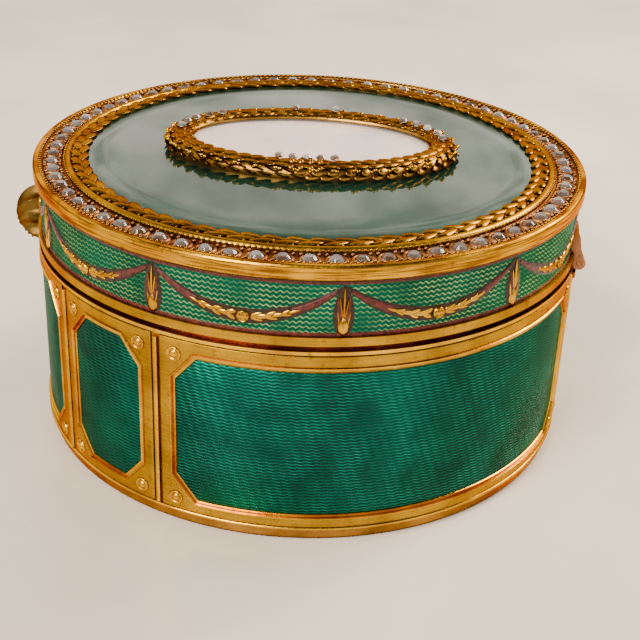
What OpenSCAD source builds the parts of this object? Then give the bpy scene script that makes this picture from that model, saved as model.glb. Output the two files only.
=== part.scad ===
// Round hinged pill box: a gilt cage with enamel panels, and an enamelled lid
// set with garlands, a ring of paste stones and an oval medallion.
// Millimetres. Origin at the centre of the base, +Z up, thumbpiece towards -Y,
// hinge towards +Y. Angles run from -Y towards +X.

/* [Drum] */
// Outside radius of the gilt cage
drum_r = 30; // [29:0.25:33]
// Height of the body, up to its rim
body_h = 21.75; // [20.5:0.25:26]
// Shadow gap left between the body rim and the lid
lid_gap = 0.55; // [0.4:0.05:0.8]
// Height of the lid from its lower edge to its lip
lid_h = 8.3; // [8:0.1:9.5]

/* [Walls] */
// Thickness of the gilt inner wall
wall_t = 0.9; // [0.7:0.1:1.1]
// Depth of the enamel panels and the cage around them
cage_t = 1.6; // [1.4:0.1:1.8]
// How far the inner collar stands above the body rim
collar_rise = 1.85; // [1.2:0.05:2.4]

/* [Panels] */
// Half of the angle between the pilasters beside a narrow panel
narrow_half = 13.6; // [12:0.2:16]
// Angle from a pilaster to the edge of the enamel beside it
pilaster_margin = 4.3; // [3.8:0.1:5]
// Lower edge of the panel enamel
panel_z0 = 3.3; // [3.1:0.1:4]
// Gilt left between the panel enamel and the rim
panel_top_margin = 2.35; // [2.3:0.05:3.2]
// Width of the canted corners
cant_w = 2.25; // [1.6:0.05:2.6]
// Height of the canted corners
cant_h = 2.6; // [2:0.1:3.2]
// Width of the raised moulding line round each panel
moulding_w = 0.3; // [0.2:0.05:0.4]
// Radius of the pilaster beads
bead_r = 0.26; // [0.2:0.02:0.32]
// Radius of the round bosses in the panel corners
boss_r = 0.75; // [0.5:0.05:0.85]

/* [Lid] */
// Number of garland swags
swags = 10; // [6:1:12]
// Angle of the first garland drop
drop_phase = 27.9; // [20:0.1:30]
// Number of stones in the rim
rim_stone_count = 72; // [60:1:76]
// Radius of a rim stone
rim_stone_r = 0.9; // [0.7:0.05:0.95]
// Outside radius of the enamel plaque
plaque_r = 24.5; // [23.5:0.25:24.75]
// How far the middle of the plaque rises above its edge
plaque_crown = 0.4; // [0.2:0.05:0.5]

/* [Medallion] */
// Long half-width of the medallion
medal_a = 16.5; // [15:0.1:17.5]
// Short half-width of the medallion
medal_b = 10.1; // [9.5:0.1:11]
// Width of the wreath
wreath_w = 3.3; // [2.8:0.1:3.5]
// Height of the wreath crest above the plaque
wreath_h = 1.65; // [1.3:0.05:2]

/* [Hinge] */
// Length of the hinge barrel
barrel_len = 14; // [10:0.5:14]
// Radius of the hinge barrel
barrel_r = 0.72; // [0.7:0.02:0.76]
// Radius of the hinge pin
pin_r = 0.28; // [0.25:0.01:0.32]
// Running clearance of the lid knuckles on the pin
pin_fit = 0.04; // [0.03:0.01:0.06]

/* [Hidden] */
$fn = 96;
far = 45;                                  // reach of the cutting wedges
floor_z = 1.5;                             // top of the base plate
foot_h = 1.3;
cage_z0 = 1.7;
lip_h = 0.35;
cage_z1 = body_h - lip_h;
cage_in = drum_r - cage_t;
wall_in = cage_in - wall_t;
collar_in = wall_in - 0.6;
collar_fit = 0.25;                         // free space round the collar
shoulder_h = lid_gap - 0.05;               // ledge the lid comes down on
lid_z0 = body_h + lid_gap;
lid_z1 = lid_z0 + lid_h;
lower_band_h = 0.9;
upper_band_h = 1.6;
enamel_z0 = lid_z0 + lower_band_h;
enamel_z1 = lid_z1 - upper_band_h;
enamel_r = drum_r - 0.4;
shell_out = drum_r - 1.2;
shell_in = wall_in + collar_fit;
deck_z = enamel_z1 + 0.6;                  // top of the lid shell
channel_z = lid_z1 - 0.6;                  // floor of the stone channel
upper_r = drum_r + 0.2;
lip_in = drum_r - 0.65;
channel_in = drum_r - 3.1;
fillet_in = plaque_r + 1.1;
stone_ring_r = (lip_in + channel_in) / 2;
plaque_z = lid_z1 + 0.12;
panel_z1 = body_h - panel_top_margin;
moulding_gap = 0.3;
narrow_mids = [51, -51, 180];
pilasters = [for (m = narrow_mids, s = [-1, 1]) m + s * narrow_half];
strip_half = narrow_half - pilaster_margin;
front_half = narrow_mids[0] - narrow_half - pilaster_margin;
side_lo = narrow_mids[0] + narrow_half + pilaster_margin;
side_hi = narrow_mids[2] - narrow_half - pilaster_margin;
side_mid = (side_lo + side_hi) / 2;
side_half = (side_hi - side_lo) / 2;
panels = [[0, front_half], [side_mid, side_half], [-side_mid, side_half],
          [narrow_mids[0], strip_half], [narrow_mids[1], strip_half],
          [narrow_mids[2], strip_half]];
boss_step = 4.0;                           // angle from a pilaster to a boss
boss_zs = [panel_z0 - 0.3, panel_z1 + 0.2];
hinge_y = drum_r - 0.15;
hinge_z = body_h + 0.25;
hinge_relief = barrel_r + 0.2;
knuckles = 5;
knuckle_gap = 0.12;
knuckle_len = barrel_len / knuckles;
leaf_half = 13.2;                          // half angle of a hinge leaf
open_a = medal_a - wreath_w - 0.3;
open_b = medal_b - wreath_w + 1.0;
crown_z = plaque_z + plaque_crown;
seat_z = crown_z + 0.3;
bezel_z = crown_z + 0.78;
crest_z = crown_z + wreath_h;
medal_pins = [[0, 9.5], [0, -9.5]];
thumb_r = 3.4;
thumb_z = body_h - 0.15;

gilt = [0.80, 0.60, 0.25];
gilt_dark = [0.62, 0.44, 0.18];
enamel_green = [0.0, 0.42, 0.33];
enamel_light = [0.25, 0.55, 0.40];

function arc_deg(len) = len / drum_r * 180 / PI;

// ---- shared shapes ----
module ring(r_in, r_out, z0, z1) {
  translate([0, 0, z0]) difference() {
    cylinder(r = r_out, h = z1 - z0);
    translate([0, 0, -1]) cylinder(r = r_in, h = z1 - z0 + 2);
  }
}

module disc(r, z0, z1) {
  translate([0, 0, z0]) cylinder(r = r, h = z1 - z0);
}

module wedge(mid, half) {
  rotate([0, 0, mid]) linear_extrude(far)
    polygon([[0, 0], [-far * sin(half), -far * cos(half)], [0, -far],
             [far * sin(half), -far * cos(half)]]);
}

// A flat outline in (width, height) stood on the drum and pushed outwards
module radial(angle, r0, r1) {
  rotate([0, 0, angle]) translate([0, -r0, 0]) rotate([90, 0, 0])
    linear_extrude(r1 - r0) children();
}

// Leg scale of a canted corner once its outline has grown by g
function cant_k(g) = 1 + g * (1 / cant_w + 1 / cant_h)
  - g * sqrt(1 / (cant_w * cant_w) + 1 / (cant_h * cant_h));

module corner_cut(angle, side, up, z, grow) {
  w = cant_w * cant_k(grow);
  h = cant_h * cant_k(grow);
  radial(angle, cage_in - 1, drum_r + 1)
    polygon([[-2 * side * w, z + up * h], [side * w, z - 2 * up * h],
             [side * w, z + up * h]]);
}

// Octagonal block that follows the drum: the outline of an enamel panel
module panel_block(mid, half, grow, r_in, r_out) {
  reach = half + arc_deg(grow);
  difference() {
    intersection() {
      ring(r_in, r_out, panel_z0 - grow, panel_z1 + grow);
      wedge(mid, reach);
    }
    for (side = [-1, 1]) {
      corner_cut(mid + side * reach, side, 1, panel_z1 + grow, grow);
      corner_cut(mid + side * reach, side, -1, panel_z0 - grow, grow);
    }
  }
}

// Oval of four tangent arcs: half-widths a along Y and b along X
module oval(a, b) {
  small = b * 0.62;
  c = a - small;
  k = (c * c - (b - small) * (b - small)) / (2 * (b - small));
  big = b + k;
  join = c + small * c / sqrt(c * c + k * k) - 0.01;
  for (s = [-1, 1]) translate([0, s * c]) circle(r = small);
  intersection() {
    translate([-k, 0]) circle(r = big);
    translate([k, 0]) circle(r = big);
    square([3 * b, 2 * join], center = true);
  }
}

module oval_block(a, b, z0, z1) {
  translate([0, 0, z0]) linear_extrude(z1 - z0) oval(a, b);
}

module oval_ring(a, b, a_in, b_in, z0, z1) {
  difference() {
    oval_block(a, b, z0, z1);
    oval_block(a_in, b_in, z0 - 1, z1 + 1);
  }
}

// Round cut stone: a short pavilion under a bevelled crown
module stone(r, h) {
  cylinder(r1 = 0.55 * r, r2 = r, h = 0.45 * h);
  translate([0, 0, 0.45 * h]) cylinder(r1 = r, r2 = 0.55 * r, h = 0.55 * h);
}

module barrel_relief(r) {
  translate([-barrel_len / 2 - 0.15, hinge_y, hinge_z]) rotate([0, 90, 0])
    cylinder(r = r, h = barrel_len + 0.3);
}

// ---- body ----
module base_plate() color(gilt_dark) {
  disc(collar_in + 0.5, 0, floor_z);
  disc(cage_in, foot_h, floor_z);
}

module foot_ring() color(gilt) {
  difference() {
    rotate_extrude() polygon([[collar_in + 0.5, 0], [drum_r - 0.5, 0],
      [drum_r - 0.25, 0.25], [drum_r - 0.25, 1.05], [drum_r - 0.1, foot_h],
      [collar_in + 0.5, foot_h]]);
  }
}

module foot_bead() color(gilt) {
  rotate_extrude() polygon([[cage_in, foot_h], [drum_r - 0.05, foot_h],
    [drum_r + 0.12, foot_h + 0.13], [drum_r + 0.12, foot_h + 0.27],
    [drum_r - 0.05, cage_z0], [cage_in, cage_z0]]);
}

module body_wall() color(gilt_dark) {
  ring(wall_in, cage_in, floor_z, cage_z1);
}

module cage_frame() color(gilt) {
  difference() {
    ring(cage_in, drum_r, cage_z0, cage_z1);
    for (p = panels) panel_block(p[0], p[1], 0, cage_in - 0.5, drum_r + 1);
    ring(drum_r - 0.15, drum_r + 1, cage_z1 - 0.2, cage_z1 + 1);
    for (a = pilasters) {
      rotate([0, 0, a]) translate([-2 * bead_r, -drum_r - 1, cage_z0 + 0.2])
        cube([4 * bead_r, 1.15, cage_z1 - cage_z0 - 0.7]);
      pilaster_bead(a);
    }
    barrel_relief(hinge_relief);
  }
}

module pilaster_bead(angle) {
  rotate([0, 0, angle]) translate([0, 0.1 - drum_r, cage_z0 + 0.2])
    cylinder(r = bead_r, h = cage_z1 - cage_z0 - 0.7);
}

module body_rim_ring() color(gilt) {
  difference() {
    ring(wall_in, drum_r + 0.08, cage_z1, body_h);
    barrel_relief(hinge_relief);
  }
}

module inner_collar() color(gilt_dark) {
  ring(collar_in, wall_in, body_h - 5.5, body_h + collar_rise);
  ring(wall_in - 0.1, shell_out - 0.1, body_h, body_h + shoulder_h);
}

module enamel(p) panel_block(p[0], p[1], 0, cage_in, drum_r - 0.12);
module enamel_panel_front() color(enamel_green) enamel(panels[0]);
module enamel_panel_right() color(enamel_green) enamel(panels[1]);
module enamel_panel_left() color(enamel_green) enamel(panels[2]);
module enamel_strip_right() color(enamel_green) enamel(panels[3]);
module enamel_strip_left() color(enamel_green) enamel(panels[4]);
module enamel_strip_back() color(enamel_green) enamel(panels[5]);

module panel_mouldings() color(gilt) {
  for (p = panels) difference() {
    panel_block(p[0], p[1], moulding_gap + moulding_w, drum_r, drum_r + 0.12);
    panel_block(p[0], p[1], moulding_gap, drum_r - 1, drum_r + 1);
  }
}

module pilaster_beads() color(gilt) {
  for (a = pilasters) pilaster_bead(a);
}

// A rivet-like boss inside a fine ring
module boss() {
  rotate_extrude() polygon([[0, 0], [boss_r, 0], [boss_r, 0.12],
    [boss_r - 0.17, 0.15], [boss_r - 0.2, 0.06], [boss_r - 0.33, 0.06],
    [boss_r - 0.37, 0.22], [0, 0.28]]);
}

module panel_bosses() color(gilt) {
  for (a = pilasters, s = [-1, 1], z = boss_zs)
    rotate([0, 0, a + s * boss_step]) translate([0, -drum_r, z])
      rotate([90, 0, 0]) boss();
}

// ---- hinge ----
module knuckle(i, bore) {
  translate([(i - knuckles / 2) * knuckle_len + knuckle_gap / 2, hinge_y, hinge_z])
    rotate([0, 90, 0]) difference() {
      cylinder(r = barrel_r, h = knuckle_len - knuckle_gap);
      translate([0, 0, -1]) cylinder(r = bore, h = knuckle_len + 2);
    }
}

// Tapered lug behind a knuckle, given as an outline in (Y, Z)
module lug(i, outline) {
  translate([(i - knuckles / 2) * knuckle_len + knuckle_gap / 2, 0, 0])
    rotate([90, 0, 90]) linear_extrude(knuckle_len - knuckle_gap) polygon(outline);
}

module leaf_plate(r_in, r_out, z0, z1) {
  intersection() {
    ring(r_in, r_out, z0, z1);
    wedge(180, leaf_half);
  }
}

module body_hinge_leaf() color(gilt) {
  lug_z = hinge_z - 1.75;
  for (i = [1, 3]) knuckle(i, pin_r);
  difference() {
    for (i = [1, 3]) lug(i, [[hinge_y - 0.6, hinge_z - 0.1],
      [hinge_y - 0.6, lug_z], [hinge_y + 0.3, lug_z],
      [hinge_y + barrel_r - 0.02, hinge_z - 0.5],
      [hinge_y + barrel_r - 0.02, hinge_z - 0.1]]);
    disc(drum_r, 0, cage_z1);
    disc(drum_r + 0.08, cage_z1, body_h);
    barrel_relief(barrel_r - 0.2);
  }
  leaf_plate(drum_r, drum_r + 0.4, lug_z + 0.02, lug_z + 0.7);
}

module lid_hinge_leaf() color(gilt) {
  lug_z = hinge_z + 3.05;
  for (i = [0, 2, 4]) knuckle(i, pin_r + pin_fit);
  difference() {
    for (i = [0, 2, 4]) lug(i, [[hinge_y - 0.6, hinge_z + 0.1],
      [hinge_y + barrel_r - 0.02, hinge_z + 0.1],
      [hinge_y + 0.55, hinge_z + 0.55], [hinge_y + 0.3, hinge_z + 0.95],
      [hinge_y + 0.1, hinge_z + 1.5], [hinge_y - 0.05, hinge_z + 2.2],
      [hinge_y - 0.2, lug_z],
      [hinge_y - 1.6, lug_z], [hinge_y - 1.6, hinge_z + 0.4]]);
    disc(drum_r, lid_z0 - 0.2, enamel_z0);
    disc(enamel_r, enamel_z0, enamel_z1);
    barrel_relief(barrel_r - 0.2);
  }
  leaf_plate(enamel_r, drum_r + 0.2, enamel_z0, enamel_z0 + 1.3);
}

module hinge_pin() color(gilt_dark) {
  translate([-barrel_len / 2 + 0.05, hinge_y, hinge_z]) rotate([0, 90, 0])
    cylinder(r = pin_r, h = barrel_len - 0.1);
}

// ---- lid ----
module lid_shell() color(gilt_dark) {
  difference() {
    union() {
      ring(shell_in, shell_out, lid_z0, enamel_z1);
      disc(lip_in - 0.2, enamel_z1, deck_z);
    }
    pin_holes();
    barrel_relief(hinge_relief);
  }
}

module lid_inner_plate() color(gilt_dark) {
  difference() {
    disc(shell_in, enamel_z1 - 0.6, enamel_z1);
    translate([0, 0, enamel_z1 - 0.3]) pin_stack(0.3);
  }
}

module lid_lower_band() color(gilt) {
  difference() {
    ring(shell_out, drum_r, lid_z0, enamel_z0);
    barrel_relief(hinge_relief);
  }
}

module lid_upper_band() color(gilt) {
  rotate_extrude() polygon([[lip_in - 0.2, enamel_z1], [upper_r, enamel_z1],
    [upper_r, lid_z1 - 0.12], [upper_r - 0.15, lid_z1],
    [lip_in + 0.15, lid_z1], [lip_in, lid_z1 - 0.15], [lip_in, channel_z],
    [lip_in - 0.2, channel_z]]);
}

module lid_enamel_band() color(enamel_light) {
  ring(shell_out, enamel_r, enamel_z0, enamel_z1);
}

// Crescent between two arcs, hung from its two ends
module swag_outline() {
  half = enamel_r * sin(180 / swags);
  top = enamel_z1 - 0.8;
  sag = 3.2;
  thick = 0.65;
  r_low = (half * half + (sag + thick) * (sag + thick)) / (2 * (sag + thick));
  r_high = (half * half + (sag - thick) * (sag - thick)) / (2 * (sag - thick));
  difference() {
    translate([0, top - sag - thick + r_low]) circle(r = r_low);
    translate([0, top - sag + thick + r_high]) circle(r = r_high);
    translate([-far, top - 0.3]) square([2 * far, 2 * far]);
  }
}

module garland_swags() color(gilt) {
  difference() {
    for (i = [0 : swags - 1])
      radial(drop_phase + (i + 0.5) * 360 / swags, enamel_r * 0.93, enamel_r + 0.7)
        swag_outline();
    disc(enamel_r, 0, lid_z1);
    ring(enamel_r + 0.25, far, 0, lid_z1);
    translate([-7.3, hinge_y - 5, 0]) cube([14.6, 10, hinge_z + 3.3]);
  }
}

// Hanging husk: a long taper above a blunt tip
module drop_outline() {
  tip = enamel_z0 + 0.25;
  polygon([[-0.25, tip], [0.25, tip], [0.55, tip + 0.35], [0.6, tip + 0.9],
           [0.2, enamel_z1 - 0.7], [-0.2, enamel_z1 - 0.7],
           [-0.6, tip + 0.9], [-0.55, tip + 0.35]]);
}

// What shows of a drop above the hinge leaf
module drop_stub_outline() {
  polygon([[-0.4, hinge_z + 3.95], [0.4, hinge_z + 3.95],
           [0.2, enamel_z1 - 0.7], [-0.2, enamel_z1 - 0.7]]);
}

module garland_drops() color(gilt) {
  difference() {
    for (i = [0 : swags - 1]) {
      a = drop_phase + i * 360 / swags;
      radial(a, enamel_r * 0.93, enamel_r + 0.4)
        if (abs(a - 180) < leaf_half) drop_stub_outline(); else drop_outline();
    }
    disc(enamel_r, 0, lid_z1);
    ring(enamel_r + 0.35, far, 0, lid_z1);
  }
}

module stone_channel() color(gilt_dark) {
  ring(fillet_in, lip_in - 0.2, deck_z, channel_z);
}

module rim_stones() color([0.9, 0.9, 0.88]) {
  for (i = [0 : rim_stone_count - 1])
    rotate([0, 0, 3.5 + i * 360 / rim_stone_count])
      translate([0, -stone_ring_r, channel_z]) stone(rim_stone_r, 0.65);
}

module stone_grains() color(gilt) {
  for (i = [0 : rim_stone_count - 1], r = [lip_in - 0.25, channel_in + 0.25])
    rotate([0, 0, 3.5 + (i + 0.5) * 360 / rim_stone_count])
      translate([0, -r, channel_z]) cylinder(r = 0.22, h = 0.45);
}

module channel_fillet() color(gilt) {
  rotate_extrude() polygon([[fillet_in, channel_z], [channel_in, channel_z],
    [channel_in, lid_z1 + 0.02], [channel_in - 0.25, lid_z1 + 0.25],
    [fillet_in + 0.3, lid_z1 + 0.3], [fillet_in, lid_z1 + 0.1]]);
}

module laurel_ring() color(gilt) {
  rotate_extrude() polygon([[plaque_r, deck_z], [fillet_in, deck_z],
    [fillet_in, lid_z1 + 0.1], [fillet_in - 0.3, lid_z1 + 0.42],
    [plaque_r + 0.3, lid_z1 + 0.42], [plaque_r, lid_z1 + 0.15]]);
}

// Enamelled disc with a slightly domed top
module plaque_form(z0) {
  rotate_extrude() polygon(concat([[0, z0], [plaque_r, z0]],
    [for (i = [5 : -1 : 0])
      [plaque_r * i / 5, plaque_z + plaque_crown * (1 - i * i / 25)]]));
}

module lid_enamel_plaque() color(enamel_light) {
  difference() {
    plaque_form(deck_z);
    pin_holes();
  }
}

// ---- medallion ----
module pin_stack(h) {
  for (p = medal_pins) translate([p[0], p[1], 0]) cylinder(r = 0.5, h = h);
}

module pin_holes() {
  translate([0, 0, enamel_z1 - 0.3]) pin_stack(seat_z - enamel_z1 + 0.3);
}

module medallion_bezel() color(gilt) {
  difference() {
    oval_block(medal_a - 0.7, medal_b - 0.7, plaque_z, bezel_z);
    oval_block(open_a + 0.4, open_b + 0.4, seat_z, bezel_z + 1);
    plaque_form(plaque_z - 1);
    translate([0, 0, plaque_z - 1]) pin_stack(plaque_crown + 1.12);
  }
}

module medallion_plaque() color([0.92, 0.86, 0.82]) {
  oval_block(open_a + 0.4, open_b + 0.4, seat_z, seat_z + 0.2);
}

module medallion_glass() color([0.9, 0.95, 0.95, 0.35]) {
  oval_block(open_a + 0.4, open_b + 0.4, seat_z + 0.2, bezel_z);
}

module medallion_wreath() color(gilt) {
  difference() {
    oval_ring(medal_a, medal_b, open_a, open_b, crown_z, crest_z);
    oval_block(medal_a - 0.7, medal_b - 0.7, plaque_z, bezel_z);
  }
}

// Stones set along the crest, given by angle round the oval
module medallion_stones() color([0.9, 0.9, 0.88]) {
  a = (medal_a + open_a) / 2;
  b = (medal_b + open_b) / 2;
  clusters = concat([for (s = [0, 180], i = [-2 : 2]) s + 11 * i],
                    [for (s = [90, 270], i = [-1 : 1]) s + 9 * i]);
  for (t = clusters)
    translate([b * sin(t), a * cos(t), crest_z]) stone(0.55, 0.4);
}

module medallion_pins() color(gilt_dark) {
  translate([0, 0, enamel_z1 - 0.3]) pin_stack(crown_z + 0.12 - enamel_z1 + 0.3);
}

// ---- thumbpiece ----
module thumbpiece() color(gilt) {
  difference() {
    translate([0, -drum_r - 0.25, thumb_z]) sphere(r = thumb_r);
    disc(drum_r + 0.3, 0, lid_z0);
    disc(drum_r, lid_z0 - 1, enamel_z0);
    disc(enamel_r, enamel_z0, enamel_z1);
  }
}

base_plate();
foot_ring();
foot_bead();
body_wall();
cage_frame();
body_rim_ring();
inner_collar();
enamel_panel_front();
enamel_panel_right();
enamel_panel_left();
enamel_strip_right();
enamel_strip_left();
enamel_strip_back();
panel_mouldings();
pilaster_beads();
panel_bosses();
body_hinge_leaf();
hinge_pin();
lid_shell();
lid_inner_plate();
lid_lower_band();
lid_upper_band();
lid_enamel_band();
garland_swags();
garland_drops();
stone_channel();
rim_stones();
stone_grains();
channel_fillet();
laurel_ring();
lid_enamel_plaque();
medallion_bezel();
medallion_plaque();
medallion_glass();
medallion_wreath();
medallion_stones();
medallion_pins();
lid_hinge_leaf();
thumbpiece();
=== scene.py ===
"""Round hinged pill box in gilt brass, engine-turned enamel and paste stones.

Lengths in the value lists are millimetres; finished pieces are in metres, in the CAD frame:
+Z up, thumbpiece towards -Y, hinge towards +Y. Angles run from -Y towards +X.
"""

from math import atan2, cos, pi, radians, sin, sqrt, tau

import bmesh
import bpy
from mathutils import Matrix, Vector


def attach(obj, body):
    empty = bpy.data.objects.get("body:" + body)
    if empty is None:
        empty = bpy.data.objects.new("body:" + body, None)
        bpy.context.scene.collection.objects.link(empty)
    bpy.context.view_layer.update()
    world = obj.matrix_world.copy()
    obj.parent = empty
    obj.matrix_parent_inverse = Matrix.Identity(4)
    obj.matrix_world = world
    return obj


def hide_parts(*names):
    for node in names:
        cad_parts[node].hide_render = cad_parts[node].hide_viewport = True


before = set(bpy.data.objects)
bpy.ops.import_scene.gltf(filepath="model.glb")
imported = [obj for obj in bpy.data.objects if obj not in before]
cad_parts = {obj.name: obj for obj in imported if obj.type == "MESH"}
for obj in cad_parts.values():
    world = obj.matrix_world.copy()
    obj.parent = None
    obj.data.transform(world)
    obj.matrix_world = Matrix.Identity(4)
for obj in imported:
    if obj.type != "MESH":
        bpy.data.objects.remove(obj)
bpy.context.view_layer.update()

MM = 0.001
BODY, LID = "box_body", "lid"

# ---------------------------------------------------------------- sizes, mm
DRUM_R = 30.0
FOOT_H, CAGE_Z0, CAGE_Z1 = 1.3, 1.7, 21.4
LID_Z0, LID_ENAMEL_Z0, LID_ENAMEL_Z1, LIP_Z = 22.3, 23.2, 29.0, 30.6
ENAMEL_R, SHELL_R, CAGE_IN = 29.6, 28.8, 28.4
LIP_R, LIP_IN, CHANNEL_IN, FILLET_IN, PLAQUE_R = 30.2, 29.35, 26.9, 25.6, 24.5
CHANNEL_Z, DECK_Z, PLAQUE_Z, CROWN = 30.0, 29.6, 30.72, 0.4
PANEL_Z0, PANEL_Z1, CANT_W, CANT_H = 3.3, 19.4, 2.25, 2.6
NARROW_MIDS, NARROW_HALF, MARGIN = (51.0, -51.0, 180.0), 13.6, 4.3
SWAGS, DROP_PHASE = 10, 27.9
STONES, STONE_PHASE, STONE_RING_R, STONE_R = 72, 3.5, 28.12, 0.80
LAUREL_LEAVES, MILGRAIN = 70, 300
MEDAL_A, MEDAL_B, OPEN_A, OPEN_B = 16.5, 10.1, 12.9, 7.8
THUMB_R, THUMB_Y, THUMB_Z, THUMB_FLUTES = 3.4, -30.25, 21.6, 11
MERGE = 0.0004          # points closer than this become one


# ---------------------------------------------------------------- mesh tools
def finish_piece(bm, name, mats, body, replaces=(), sharp=35.0):
    """Makes a finished piece of a bmesh drawn in millimetres."""
    bmesh.ops.remove_doubles(bm, verts=bm.verts, dist=MERGE)
    bmesh.ops.recalc_face_normals(bm, faces=bm.faces)
    bmesh.ops.scale(bm, vec=(MM, MM, MM), verts=bm.verts)
    mesh = bpy.data.meshes.new(name)
    bm.to_mesh(mesh)
    bm.free()
    for mat in mats if isinstance(mats, (list, tuple)) else [mats]:
        mesh.materials.append(mat)
    mesh.shade_smooth()
    mesh.set_sharp_from_angle(angle=radians(sharp))
    obj = bpy.data.objects.new(name, mesh)
    bpy.context.scene.collection.objects.link(obj)
    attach(obj, body)
    if replaces:
        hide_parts(*replaces)
    return obj


def lathe(profile, steps=288, closed=True):
    """Spins an outline of (radius, height) round the drum axis."""
    bm = bmesh.new()
    verts = [bm.verts.new((r, 0, z)) for r, z in profile]
    ends = verts[1:] + verts[:1] if closed else verts[1:]
    edges = [bm.edges.new(pair) for pair in zip(verts, ends)]
    bmesh.ops.spin(bm, geom=verts + edges, cent=(0, 0, 0), axis=(0, 0, 1),
                   angle=tau, steps=steps, use_merge=True)
    bmesh.ops.remove_doubles(bm, verts=bm.verts, dist=MERGE)
    return bm


def soften(bm, offset, segments=2, limit=28.0):
    """Rounds every edge sharper than limit."""
    edges = [e for e in bm.edges if e.is_manifold and e.calc_face_angle(0) > radians(limit)]
    bmesh.ops.bevel(bm, geom=edges, offset=offset, offset_type="OFFSET", segments=segments,
                    profile=0.5, affect="EDGES", material=-1, clamp_overlap=True)
    return bm


def wrap(bm, radius, angle=0.0):
    """Bends a flat piece round the drum: x is arc length, y stands off the surface."""
    for v in bm.verts:
        a, r = v.co.x / radius + radians(angle), radius + v.co.y
        v.co = Vector((r * sin(a), -r * cos(a), v.co.z))
    return bm


def on_drum(angle, radius, z, tilt=0.0):
    """Matrix that stands a piece on the drum: its x along the arc, its z up, its y outwards."""
    return (Matrix.Rotation(radians(angle), 4, "Z") @ Matrix.Translation((0, -radius, z))
            @ Matrix.Rotation(tilt, 4, "Y"))


def join(target, part, matrix=Matrix()):
    """Adds a copy of part to target, placed by matrix."""
    mesh = bpy.data.meshes.new("scratch")
    part.to_mesh(mesh)
    mesh.transform(matrix)
    target.from_mesh(mesh)
    bpy.data.meshes.remove(mesh)


def sheet(half_w, z0, z1, column):
    """Flat sheet in X and Z, in columns narrow enough to follow the drum."""
    bm = bmesh.new()
    bmesh.ops.create_grid(bm, x_segments=max(4, round(2 * half_w / column)), y_segments=1, size=1)
    bmesh.ops.scale(bm, vec=(half_w, (z1 - z0) / 2, 1), verts=bm.verts)
    bmesh.ops.rotate(bm, matrix=Matrix.Rotation(pi / 2, 3, "X"), verts=bm.verts)
    bmesh.ops.translate(bm, vec=(0, 0, (z0 + z1) / 2), verts=bm.verts)
    return bm


def octagon_sides(half_w, grow):
    """The eight sides of a panel outline as (point, outward normal) in X and Z."""
    mid, half_h = (PANEL_Z0 + PANEL_Z1) / 2, (PANEL_Z1 - PANEL_Z0) / 2
    cant = Vector((CANT_H, 0, CANT_W)).normalized()
    sides = []
    for sx in (-1, 1):
        sides.append((Vector((sx * (half_w + grow), 0, mid)), Vector((sx, 0, 0))))
        sides.append((Vector((0, 0, mid + sx * (half_h + grow))), Vector((0, 0, sx))))
        for sz in (-1, 1):
            normal = Vector((sx * cant.x, 0, sz * cant.z))
            start = Vector((sx * (half_w - CANT_W), 0, mid + sz * half_h))
            sides.append((start + normal * grow, normal))
    return sides


def cut_octagon(bm, half_w, grow, keep_inside):
    """Cuts a sheet along a panel outline and keeps what is inside or outside it."""
    sides = octagon_sides(half_w, grow)
    for point, normal in sides:
        bmesh.ops.bisect_plane(bm, geom=bm.verts[:] + bm.edges[:] + bm.faces[:], dist=1e-4,
                               plane_co=point, plane_no=normal)
    inside = [f for f in bm.faces
              if all((f.calc_center_median() - p).dot(n) < 0 for p, n in sides)]
    drop = [f for f in bm.faces if f not in inside] if keep_inside else inside
    bmesh.ops.delete(bm, geom=drop, context="FACES")


def thicken(bm, depth):
    """Gives a flat sheet a back, depth behind it, so that it is a closed slab."""
    front = bm.faces[:]
    back = bmesh.ops.extrude_face_region(bm, geom=front, use_keep_orig=True)
    moved = [v for v in back["geom"] if isinstance(v, bmesh.types.BMVert)]
    bmesh.ops.translate(bm, vec=(0, -depth, 0), verts=moved)
    bmesh.ops.recalc_face_normals(bm, faces=bm.faces)


def soften_front(bm, offset, segments=3):
    """Rounds the sharp edges that lie on the front, y = 0, of a flat slab."""
    edges = [e for e in bm.edges if e.is_manifold and e.calc_face_angle(0) > radians(40)
             and all(abs(v.co.y) < 1e-5 for v in e.verts)]
    bmesh.ops.bevel(bm, geom=edges, offset=offset, offset_type="OFFSET", segments=segments,
                    profile=0.5, affect="EDGES", material=-1, clamp_overlap=True)


def bar(cuts, round_off=0.7):
    """Closed bar along X from -1 to 1, its long edges rounded, ready to be bent on a path."""
    bm = bmesh.new()
    bmesh.ops.create_cube(bm, size=2)
    long_edges = [e for e in bm.edges if abs(e.verts[0].co.x - e.verts[1].co.x) > 1]
    bmesh.ops.bevel(bm, geom=long_edges, offset=round_off, offset_type="OFFSET", segments=2,
                    profile=0.5, affect="EDGES", material=-1, clamp_overlap=True)
    long_edges = [e for e in bm.edges if abs(e.verts[0].co.x - e.verts[1].co.x) > 1]
    bmesh.ops.subdivide_edges(bm, edges=long_edges, cuts=cuts, use_grid_fill=True)
    return bm


def leaf(bm, matrix, length, width, height):
    """Leaf that narrows to a tip: length along the matrix's x, height along its y."""
    ball = bmesh.ops.create_uvsphere(bm, u_segments=8, v_segments=6, radius=1)["verts"]
    for v in ball:
        slim = 0.62 + 0.62 * max(0.0, (1 - v.co.z) / 2) ** 0.8 if v.co.z > -0.99 else 1
        v.co = Vector((v.co.z * length / 2, v.co.y * height * slim, v.co.x * width / 2 * slim))
    bmesh.ops.transform(bm, matrix=matrix, verts=ball)


def bead(bm, matrix, radius, detail=2):
    bmesh.ops.create_icosphere(bm, subdivisions=detail, radius=radius, matrix=matrix)


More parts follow.
